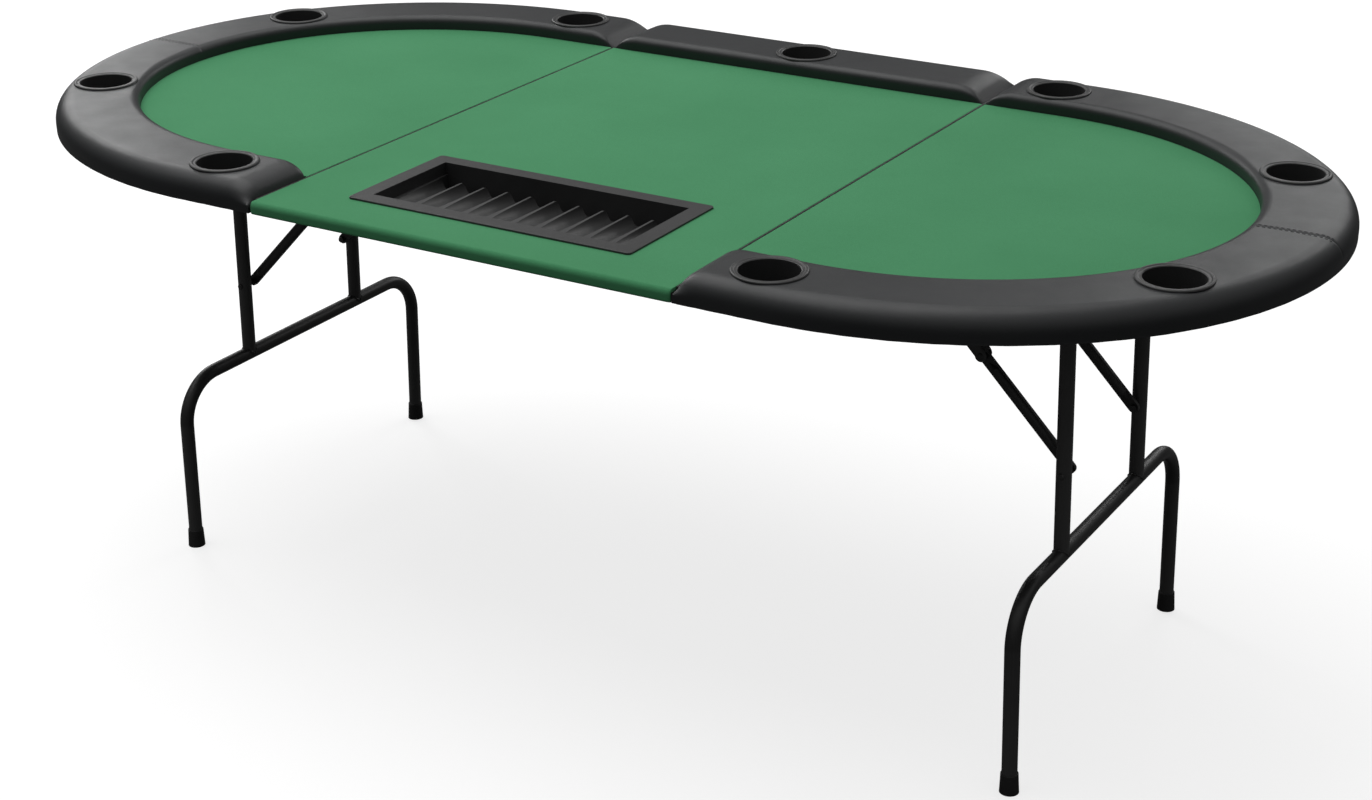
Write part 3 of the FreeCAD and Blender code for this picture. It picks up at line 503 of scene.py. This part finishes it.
def centre_felt():
    """Felt of the middle panel: flat on top, wrapped round the dealer's edge and turned under the board."""
    half = CENTRE_FELT_HIGH.x - CENTRE_FELT_SETBACK
    front, back = CENTRE_FELT_LOW.y, CENTRE_FELT_HIGH.y
    radius = FELT_EDGE_RADIUS
    wrap_y = front + FELT_WRAP
    tray_front, tray_back = TRAY_LOW.y + TRAY_LIP, TRAY_HIGH.y - TRAY_LIP
    path = []                       # outer and inner (y, z), from the back rail to the turned-under hem
    lines_y = sorted(set(list(np.linspace(front + radius, back, 60)) + [tray_front, tray_back]))
    for y in reversed(lines_y):
        path.append(((y, FELT_TOP - SKIN), (y, BOARD_TOP + SKIN)))
    for angle in np.linspace(0, math.pi / 2, 12)[1:]:
        y = front + radius * (1 - math.sin(angle))
        path.append(((y, FELT_TOP - radius * (1 - math.cos(angle))), (wrap_y, BOARD_TOP + SKIN)))
    for z in np.linspace(FELT_TOP - radius, BOARD_BOTTOM + 2 * MM, 5)[1:]:
        path.append(((front, z), (wrap_y, min(z, BOARD_TOP))))
    for angle in np.linspace(0, math.pi / 2, 5)[1:]:
        y = front + FELT_FOLD * (1 - math.cos(angle))
        z = BOARD_BOTTOM + 2 * MM - 3 * MM * math.sin(angle)
        path.append(((y, z), (wrap_y, BOARD_BOTTOM - HEM_SKIN)))
    for y in np.linspace(wrap_y, front + FELT_HEM_END, 5):
        path.append(((y, BOARD_BOTTOM - FELT_HEM), (y, BOARD_BOTTOM - HEM_SKIN)))
    lines_x = [step * MM for step in FELT_STEPS]
    lines_x += list(np.linspace(6 * MM, half - TRAY_HIGH.x + TRAY_LIP, 14))
    left_part = [-half + value for value in lines_x]
    middle = list(np.linspace(left_part[-1], -left_part[-1], 42))[1:-1]
    stations = left_part + middle + [-x for x in reversed(left_part)]
    outer, inner = [], []
    for x in stations:
        drop = rolled(half - abs(x))
        near_end = max(0.0, 1 - (half - abs(x)) / FELT_CORNER)
        corner = FELT_CORNER_INSET * (1 - math.sqrt(1 - near_end * near_end))
        for (y, z), (y_in, z_in) in path:
            on_top = z > BOARD_TOP and y > front + radius
            z_out = z - drop + (nap_swell(x, y) if on_top else 0)
            wrap = corner * np.clip((front + radius - y) / radius, 0, 1)
            outer.append((x, y + wrap, z_out if z > BOARD_TOP - 5 * MM else z))
            inner.append((x, y_in, z_in))

    def wanted(i, j):
        x = (stations[i] + stations[i + 1]) / 2
        y = (path[j][0][0] + path[j + 1][0][0]) / 2
        return not (abs(x) < TRAY_HIGH.x - TRAY_LIP and tray_front < y < tray_back)

    return thick_sheet("center_felt", np.array(outer), np.array(inner),
                       grid_cells(len(stations), len(path), wanted))


def build_felt():
    right = leaf_felt()
    left = mirrored_copy(right, "left_felt")
    centre = centre_felt()
    for piece, body, node in ((right, "right_leaf", "right_felt_pad"), (left, "left_leaf", "left_felt_pad"),
                              (centre, "center_panel", "center_felt_pad")):
        smooth(piece, 35)
        piece.data.materials.append(MATERIALS["felt"])
        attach(piece, body)
        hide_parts(node)


# ---------------------------------------------------------------- thread, staples, welds and hems

def tube_mesh(runs, radius, sides=8):
    """Points and faces of round strands; each run is (points, closed), open strands get flat ends."""
    points, faces = [], []
    for run, closed in runs:
        run = [Vector(p) for p in run]
        first = len(points)
        count = len(run)
        side = Vector((0, 0, 1))
        for index, point in enumerate(run):
            ahead = run[(index + 1) % count] if closed else run[min(index + 1, count - 1)]
            behind = run[index - 1] if closed or index else run[0]
            along = (ahead - behind).normalized()
            if abs(side.dot(along)) > 0.95:
                side = Vector((1, 0, 0))
            across = along.cross(side).normalized()
            side = across.cross(along).normalized()
            for k in range(sides):
                turn = 2 * math.pi * k / sides
                points.append(point + radius * (math.cos(turn) * across + math.sin(turn) * side))
        for index in range(count if closed else count - 1):
            low, high = first + index * sides, first + (index + 1) % count * sides
            for k in range(sides):
                after = (k + 1) % sides
                faces.append((low + k, low + after, high + after, high + k))
        if not closed:
            faces.append(tuple(first + k for k in reversed(range(sides))))
            faces.append(tuple(first + (count - 1) * sides + k for k in range(sides)))
    return points, faces


def strands(name, runs, radius, slot, body, sides=8):
    """One piece made of round strands."""
    piece = new_object(name, *tube_mesh(runs, radius, sides))
    piece.data.shade_smooth()
    piece.data.materials.append(MATERIALS[slot])
    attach(piece, body)


def seam_stitches(cover, side):
    """Two rows of stitches beside the seam that runs across the rail at the table's end."""
    runs = []
    for path in (-SEAM_OFFSET, SEAM_OFFSET):
        d = OUTER_RADIUS * 0.45
        while d + STITCH < RAIL_WIDTH - INNER_RADIUS * 0.6:
            run = []
            for share in (0, 0.15, 0.5, 0.85, 1):
                x, y = leaf_rail_place(path, d + share * STITCH, RAIL_TOP)
                _, spot, normal, _ = cover.closest_point_on_mesh((side * x, y, RAIL_TOP + 3 * MM))
                lift = -THREAD_RADIUS if share in (0, 1) else THREAD_RADIUS * 0.3
                run.append(spot + normal * lift)
            runs.append((run, False))
            d += STITCH + STITCH_GAP
    return runs


def hem_sheet(name, values, place):
    """Margin of a rail's cover, turned under the board, with a slightly uneven cut edge."""
    outer, inner = [], []
    shares = (0.03, 0.10, 0.35, 0.65, 0.92, 1.0)
    for index, value in enumerate(values):
        for share in shares:
            ragged = 0.5 * MM * math.sin(1.7 * index) * share
            x, y = place(value, HEM_WIDTH * share + ragged, BOARD_BOTTOM)
            sag = HEM_THICK * (1 - 0.45 * (share in (shares[0], shares[-1])))
            pucker = 0.15 * MM * math.sin(2.3 * index + 4 * share)
            outer.append((x, y, BOARD_BOTTOM - sag - pucker))
            inner.append((x, y, BOARD_BOTTOM - HEM_SKIN))
    return thick_sheet(name, np.array(outer), np.array(inner), grid_cells(len(values), len(shares)))


def staple_runs(values, place):
    """Staples along a hem, each a wire crown with both ends driven in."""
    runs = []
    walked, last = 0.0, None
    fine = np.linspace(values[0], values[-1], STAPLE_SAMPLES)
    for value, ahead in zip(fine, fine[1:]):
        x, y = place(value, HEM_WIDTH * STAPLE_SHARE, BOARD_BOTTOM)
        here = Vector((x, y, BOARD_BOTTOM - HEM_THICK - STAPLE_STANDOFF))
        walked += (here - last).length if last else STAPLE_SPACING / 2
        last = here
        if walked >= STAPLE_SPACING:
            walked = 0.0
            x, y = place(ahead, HEM_WIDTH * STAPLE_SHARE, BOARD_BOTTOM)
            along = (Vector((x, y, here.z)) - here).normalized() * STAPLE_HALF
            up = Vector((0, 0, STAPLE_DEPTH))
            runs.append(([here - along + up, here - along, here + along, here + along + up], False))
    return runs


def leaf_hem_values():
    """Path values along the hem of a leaf's cover, which stops just short of both rail ends."""
    margin = HEM_END_GAP / (STRAIGHT_X - FRONT_RAIL_X)
    front = list(np.linspace(-2 + margin, -1, 9))
    return front + list(np.linspace(-1, 1, 97))[1:-1] + [-value for value in reversed(front)]


def build_hems():
    """Turned-under cover margins below the rails, and their staples."""
    right = hem_sheet("right_cover_hem", leaf_hem_values(), leaf_rail_place)
    left = mirrored_copy(right, "left_cover_hem")
    centre_values = list(np.linspace(-CENTRE_HEM_REACH, CENTRE_HEM_REACH, 60))
    centre = hem_sheet("center_cover_hem", centre_values, centre_rail_place)
    for piece, body in ((right, "right_leaf"), (left, "left_leaf"), (centre, "center_panel")):
        smooth(piece, 60)
        piece.data.materials.append(MATERIALS["rail_cover"])
        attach(piece, body)
    runs = staple_runs(leaf_hem_values(), leaf_rail_place)
    for name, side in SIDES.items():
        strands(name + "_staples", [([(side * x, y, z) for x, y, z in run], closed) for run, closed in runs],
                STAPLE_RADIUS, "zinc_steel", name + "_leaf")
    strands("center_staples", staple_runs(centre_values, centre_rail_place), STAPLE_RADIUS,
            "zinc_steel", "center_panel")


def build_welds():
    """Weld beads where the uprights stand on the crossbars."""
    for name, side in SIDES.items():
        runs = []
        for y in (-UPRIGHT_Y, UPRIGHT_Y):
            run = []
            for index in range(WELD_POINTS):
                turn = 2 * math.pi * index / WELD_POINTS
                reach = TUBE_RADIUS + WELD_RIPPLE * math.sin(11 * turn)
                x, z = reach * math.cos(turn), -CROSSBAR_DROP + reach * abs(math.sin(turn))
                place = (LEG_PIVOT[0] + x * math.cos(LEG_LEAN) - z * math.sin(LEG_LEAN),
                         y + reach * math.sin(turn),
                         LEG_PIVOT[2] + x * math.sin(LEG_LEAN) + z * math.cos(LEG_LEAN))
                run.append((side * place[0], place[1], place[2]))
            runs.append((run, True))
        strands(name + "_leg_welds", runs, WELD_RADIUS, "black_tube", name + "_leg", 10)


# ---------------------------------------------------------------- materials

class Shader:
    """Short-hand for one procedural material built round a Principled shader."""

    def __init__(self, name):
        self.material = bpy.data.materials.new(name)
        self.material.use_nodes = True
        self.tree = self.material.node_tree
        self.surface = self.tree.nodes["Principled BSDF"]
        self.place = self.tree.nodes.new("ShaderNodeTexCoord").outputs["Object"]

    def link(self, source, target):
        self.tree.links.new(source, target)

    def stretched(self, scale):
        mapping = self.tree.nodes.new("ShaderNodeMapping")
        mapping.inputs["Scale"].default_value = scale
        self.link(self.place, mapping.inputs["Vector"])
        return mapping.outputs["Vector"]

    def noise(self, scale, detail=3.0, roughness=0.55, vector=None):
        node = self.tree.nodes.new("ShaderNodeTexNoise")
        node.inputs["Scale"].default_value = scale
        node.inputs["Detail"].default_value = detail
        node.inputs["Roughness"].default_value = roughness
        self.link(vector or self.place, node.inputs["Vector"])
        return node.outputs["Fac"]

    def cell_edges(self, scale):
        node = self.tree.nodes.new("ShaderNodeTexVoronoi")
        node.feature = "DISTANCE_TO_EDGE"
        node.inputs["Scale"].default_value = scale
        self.link(self.place, node.inputs["Vector"])
        return node.outputs["Distance"]

    def ramp(self, factor, stops):
        """Colour ramp through (position, colour) stops."""
        node = self.tree.nodes.new("ShaderNodeValToRGB")
        ramp = node.color_ramp
        while len(ramp.elements) < len(stops):
            ramp.elements.new(0.5)
        for element, (position, colour) in zip(ramp.elements, stops):
            element.position = position
            element.color = (*colour, 1)
        self.link(factor, node.inputs["Fac"])
        return node.outputs["Color"]

    def spread(self, factor, low, high):
        """Map a 0..1 factor to low..high."""
        node = self.tree.nodes.new("ShaderNodeMapRange")
        node.inputs["To Min"].default_value = low
        node.inputs["To Max"].default_value = high
        self.link(factor, node.inputs["Value"])
        return node.outputs["Result"]

    def mix(self, factor, first, second, blend="MIX"):
        """Blend two colours; each argument is a plain value or another node's output."""
        node = self.tree.nodes.new("ShaderNodeMix")
        node.data_type = "RGBA"
        node.blend_type = blend
        colours = [socket for socket in node.inputs if socket.type == "RGBA"]
        for target, value in zip([node.inputs[0]] + colours, (factor, first, second)):
            if isinstance(value, bpy.types.NodeSocket):
                self.link(value, target)
            else:
                target.default_value = value if isinstance(value, float) else (*value, 1)
        return next(s for s in node.outputs if s.type == "RGBA")

    def bump(self, height, distance, strength=1.0, below=None):
        node = self.tree.nodes.new("ShaderNodeBump")
        node.inputs["Strength"].default_value = strength
        node.inputs["Distance"].default_value = distance
        self.link(height, node.inputs["Height"])
        if below is not None:
            self.link(below, node.inputs["Normal"])
        return node.outputs["Normal"]

    def painted_edge_highlight(self, colour, highlight_colour, amount):
        """Painted highlight: lighten edges that stand proud, by the geometry's pointiness."""
        geometry = self.tree.nodes.new("ShaderNodeNewGeometry")
        highlight_mask = self.ramp(geometry.outputs["Pointiness"], [(0.52, (0, 0, 0)), (0.60, (amount,) * 3)])
        return self.mix(highlight_mask, colour, highlight_colour)

    def finish(self, colour=None, roughness=None, normal=None, **values):
        """Link the given outputs to the surface, set its other values and return the material."""
        if colour is not None:
            self.link(colour, self.surface.inputs["Base Color"])
        if roughness is not None:
            self.link(roughness, self.surface.inputs["Roughness"])
        if normal is not None:
            self.link(normal, self.surface.inputs["Normal"])
        for name, value in values.items():
            self.surface.inputs[name.replace("_", " ")].default_value = value
        return self.material


def felt_material():
    s = Shader("felt")
    patches = s.ramp(s.noise(3.0, 4), [(0.30, (0.060, 0.255, 0.112)), (0.70, (0.072, 0.285, 0.130))])
    fibres = s.ramp(s.noise(1500, 5, 0.7), [(0.28, (0.70, 0.72, 0.70)), (0.72, (1.22, 1.18, 1.22))])
    colour = s.mix(1.0, patches, fibres, "MULTIPLY")
    streaks = s.noise(600, 4, 0.6, s.stretched((0.25, 1.0, 1.0)))
    soft = s.bump(s.noise(220, 3), 0.0003, 0.35)
    normal = s.bump(streaks, 0.00035, 0.6, soft)
    return s.finish(colour, s.spread(s.noise(90, 2), 0.86, 1.0), normal,
                    Sheen_Weight=0.05, Sheen_Roughness=0.5, Specular_IOR_Level=0.08)


def rail_material():
    s = Shader("rail_cover")
    tone = s.ramp(s.noise(5, 4), [(0.3, (0.0115, 0.013, 0.0145)), (0.7, (0.0165, 0.018, 0.0195))])
    # Painted shade: the grain's grooves, where the bump below sinks in, are painted darker.
    groove_shade = s.ramp(s.cell_edges(900), [(0.0, (0.62,) * 3), (0.14, (1, 1, 1))])
    # Painted highlight: the cover's edges that stand proud are lightened.
    colour = s.painted_edge_highlight(s.mix(1.0, tone, groove_shade, "MULTIPLY"), (0.045, 0.045, 0.047), 0.3)
    grain = s.bump(s.cell_edges(900), 0.00018, 0.55)
    pull = s.bump(s.noise(38, 3, 0.5, s.stretched((1.0, 1.6, 1.0))), 0.0012, 0.06, grain)
    return s.finish(colour, s.spread(s.noise(24, 4), 0.40, 0.54), pull, Specular_IOR_Level=0.5)


def plastic_material():
    s = Shader("moulded_plastic")
    tone = s.ramp(s.noise(9, 3), [(0.3, (0.015, 0.0155, 0.0155)), (0.7, (0.022, 0.022, 0.0225))])
    # Painted highlight: the moulding's edges that stand proud are lightened.
    colour = s.painted_edge_highlight(tone, (0.07, 0.07, 0.07), 0.4)
    texture = s.bump(s.noise(2600, 3, 0.6), 0.00012, 0.5)
    return s.finish(colour, s.spread(s.noise(60, 5, 0.65), 0.38, 0.56), texture, Specular_IOR_Level=0.5)


def powder_coat_material(name="black_tube", dark=0.017, light=0.026):
    s = Shader(name)
    tone = s.ramp(s.noise(14, 3), [(0.3, (dark,) * 3), (0.7, (light,) * 3)])
    chips = s.ramp(s.noise(420, 6, 0.75), [(0.70, (0, 0, 0)), (0.78, (0.30,) * 3)])
    # Painted highlight: the coating's edges that stand proud are lightened, over its tone and paint chips.
    colour = s.painted_edge_highlight(s.mix(chips, tone, (0.045, 0.045, 0.045)), (0.10, 0.10, 0.10), 0.4)
    peel = s.bump(s.noise(1300, 2), 0.00016, 0.45)
    return s.finish(colour, s.spread(s.noise(80, 4), 0.34, 0.50), peel, Specular_IOR_Level=0.5)


def board_material():
    s = Shader("mdf")
    flecks = s.ramp(s.noise(900, 6, 0.8), [(0.25, (0.016, 0.015, 0.014)), (0.75, (0.034, 0.031, 0.028))])
    clouds = s.ramp(s.noise(7, 4), [(0.3, (0.86, 0.86, 0.86)), (0.7, (1.08, 1.06, 1.04))])
    normal = s.bump(s.noise(1400, 4, 0.7), 0.00012, 0.4)
    return s.finish(s.mix(1.0, flecks, clouds, "MULTIPLY"), s.spread(s.noise(40, 4), 0.6, 0.8), normal)


def plywood_material():
    s = Shader("plywood")
    grain = s.noise(60, 6, 0.65, s.stretched((0.5, 6.0, 6.0)))
    colour = s.ramp(grain, [(0.3, (0.36, 0.23, 0.12)), (0.7, (0.52, 0.36, 0.20))])
    layers = s.noise(1.0, 0, 0.5, s.stretched((0.1, 0.1, 600.0)))
    plies = s.ramp(layers, [(0.45, (0.8,) * 3), (0.55, (1.05,) * 3)])
    banded = s.mix(1.0, colour, plies, "MULTIPLY")
    return s.finish(banded, s.spread(grain, 0.6, 0.8), s.bump(grain, 0.0004, 0.4))


def steel_material(name, dark, light, low, high, stretch, metallic=1.0):
    s = Shader(name)
    brushed = s.noise(900, 4, 0.6, s.stretched(stretch))
    colour = s.ramp(brushed, [(0.3, dark), (0.7, light)])
    spots = s.ramp(s.noise(260, 5, 0.7), [(0.62, (0, 0, 0)), (0.74, (0.5,) * 3)])
    colour = s.mix(spots, colour, tuple(value * 0.45 for value in dark))
    return s.finish(colour, s.spread(brushed, low, high), s.bump(brushed, 0.0001, 0.3), Metallic=metallic)


def rubber_material():
    s = Shader("foot_rubber")
    tone = s.ramp(s.noise(30, 4), [(0.3, (0.009, 0.009, 0.009)), (0.7, (0.016, 0.016, 0.016))])
    dust = s.ramp(s.noise(160, 5, 0.7), [(0.6, (0, 0, 0)), (0.8, (0.35,) * 3)])
    colour = s.mix(dust, tone, (0.05, 0.048, 0.045))
    return s.finish(colour, s.spread(s.noise(70, 3), 0.6, 0.8), s.bump(s.noise(1500, 3), 0.0002, 0.5))


def floor_material():
    """Pale, evenly lit paper with soft shadows; it sends little light back up at the table.

    Seen from below it is clear, so the underside of the table can be looked at."""
    s = Shader("floor")
    below = s.tree.nodes.new("ShaderNodeNewGeometry").outputs["Backfacing"]
    s.link(s.spread(below, 1.0, 0.0), s.surface.inputs["Alpha"])
    pale = s.ramp(s.noise(0.8, 3), [(0.3, (FLOOR_SHADE,) * 3), (0.7, (FLOOR_SHADE * 1.03,) * 3)])
    seen = s.tree.nodes.new("ShaderNodeLightPath").outputs["Is Camera Ray"]
    s.link(s.mix(seen, (0.0, 0.0, 0.0), (FLOOR_GLOW,) * 3), s.surface.inputs["Emission Color"])
    colour = s.mix(seen, (FLOOR_BOUNCE,) * 3, pale)
    return s.finish(colour, s.spread(s.noise(2, 2), 0.85, 0.95), None, Specular_IOR_Level=0.0,
                    Emission_Strength=1.0)


MATERIALS = {
    "felt": felt_material(),
    "rail_cover": rail_material(),
    "moulded_plastic": plastic_material(),
    "black_tube": powder_coat_material(),
    "black_fastener": powder_coat_material("black_fastener", 0.020, 0.030),
    "mdf": board_material(),
    "plywood": plywood_material(),
    "hinge_steel": steel_material("hinge_steel", (0.012, 0.013, 0.012), (0.03, 0.032, 0.03),
                                  0.5, 0.65, (1, 0.05, 1), 0.3),
    "bare_steel": steel_material("bare_steel", (0.38, 0.38, 0.39), (0.52, 0.52, 0.53),
                                 0.28, 0.4, (1, 0.05, 1)),
    "zinc_steel": steel_material("zinc_steel", (0.42, 0.43, 0.46), (0.62, 0.63, 0.64),
                                 0.25, 0.42, (0.2, 1, 1)),
    "foot_rubber": rubber_material(),
}


def dress_cad_nodes():
    """Give every CAD node the material of its slot, and round the moulded tray's edges a little."""
    slots = {entry["node"]: entry["material_slot"] for entry in frame["record"]["subparts"]}
    for name, node in frame["nodes"].items():
        node.data.materials.clear()
        node.data.materials.append(MATERIALS[slots[name]])
    soften = frame["nodes"]["chip_tray"].modifiers.new("soften", "BEVEL")
    soften.width = TRAY_EDGE
    soften.segments = 3
    soften.angle_limit = math.radians(35)


# ---------------------------------------------------------------- studio

def sky():
    """White to the eye; the light it gives comes from overhead and fades towards the horizon."""
    world = bpy.data.worlds.new("studio")
    world.use_nodes = True
    tree = world.node_tree
    light = tree.nodes["Background"]
    direction = tree.nodes.new("ShaderNodeTexCoord").outputs["Generated"]
    split = tree.nodes.new("ShaderNodeSeparateXYZ")
    tree.links.new(direction, split.inputs[0])
    fade = tree.nodes.new("ShaderNodeValToRGB")
    ramp = fade.color_ramp
    ramp.elements[0].color = (SKY_LOW,) * 3 + (1,)
    ramp.elements[1].color = (SKY_HIGH,) * 3 + (1,)
    ramp.elements[0].position = 0.05
    ramp.elements[1].position = 0.9
    tree.links.new(split.outputs["Z"], fade.inputs["Fac"])
    tree.links.new(fade.outputs["Color"], light.inputs["Color"])
    white = tree.nodes.new("ShaderNodeBackground")
    white.inputs["Color"].default_value = (1, 1, 1, 1)
    seen = tree.nodes.new("ShaderNodeLightPath").outputs["Is Camera Ray"]
    choose = tree.nodes.new("ShaderNodeMixShader")
    tree.links.new(seen, choose.inputs[0])
    tree.links.new(light.outputs[0], choose.inputs[1])
    tree.links.new(white.outputs[0], choose.inputs[2])
    tree.links.new(choose.outputs[0], tree.nodes["World Output"].inputs["Surface"])
    bpy.context.scene.world = world


def softbox(place, size, energy):
    """Soft rectangular lamp aimed at the table; energy is in watts."""
    data = bpy.data.lights.new("softbox", "AREA")
    data.shape = "RECTANGLE"
    data.size, data.size_y = size
    data.energy = energy
    lamp = bpy.data.objects.new("softbox", data)
    lamp.location = place
    lamp.rotation_euler = (AIM - Vector(place)).to_track_quat("-Z", "Y").to_euler()
    lamp.visible_camera = False
    bpy.context.scene.collection.objects.link(lamp)


def studio():
    """Floor, sky and lamps."""
    corners = [(-FLOOR_HALF, -FLOOR_HALF, 0), (FLOOR_HALF, -FLOOR_HALF, 0),
               (FLOOR_HALF, FLOOR_HALF, 0), (-FLOOR_HALF, FLOOR_HALF, 0)]
    floor = new_object("floor", corners, [(0, 1, 2, 3)])
    floor.data.materials.append(floor_material())
    sky()
    for place, size, energy in SOFTBOXES:
        softbox(place, size, energy)


def camera():
    """Camera given by its place, compass heading, dip below the horizon and roll."""
    forward = Vector((-math.sin(CAMERA_HEADING) * math.cos(CAMERA_DIP),
                      math.cos(CAMERA_HEADING) * math.cos(CAMERA_DIP), -math.sin(CAMERA_DIP)))
    level = forward.cross(Vector((0, 0, 1))).normalized()
    rise = level.cross(forward)
    right = math.cos(CAMERA_ROLL) * level + math.sin(CAMERA_ROLL) * rise
    up = -math.sin(CAMERA_ROLL) * level + math.cos(CAMERA_ROLL) * rise
    data = bpy.data.cameras.new("camera")
    data.lens = CAMERA_FOCAL
    data.clip_end = 100
    eye = bpy.data.objects.new("camera", data)
    turn = Matrix((right, up, -forward)).transposed().to_4x4()
    eye.matrix_world = Matrix.Translation(CAMERA_PLACE) @ turn
    bpy.context.scene.collection.objects.link(eye)
    bpy.context.scene.camera = eye
    bpy.context.scene.view_settings.view_transform = "Standard"


dress_cad_nodes()
build_felt()
build_rails()
build_hems()
build_welds()
studio()
camera()
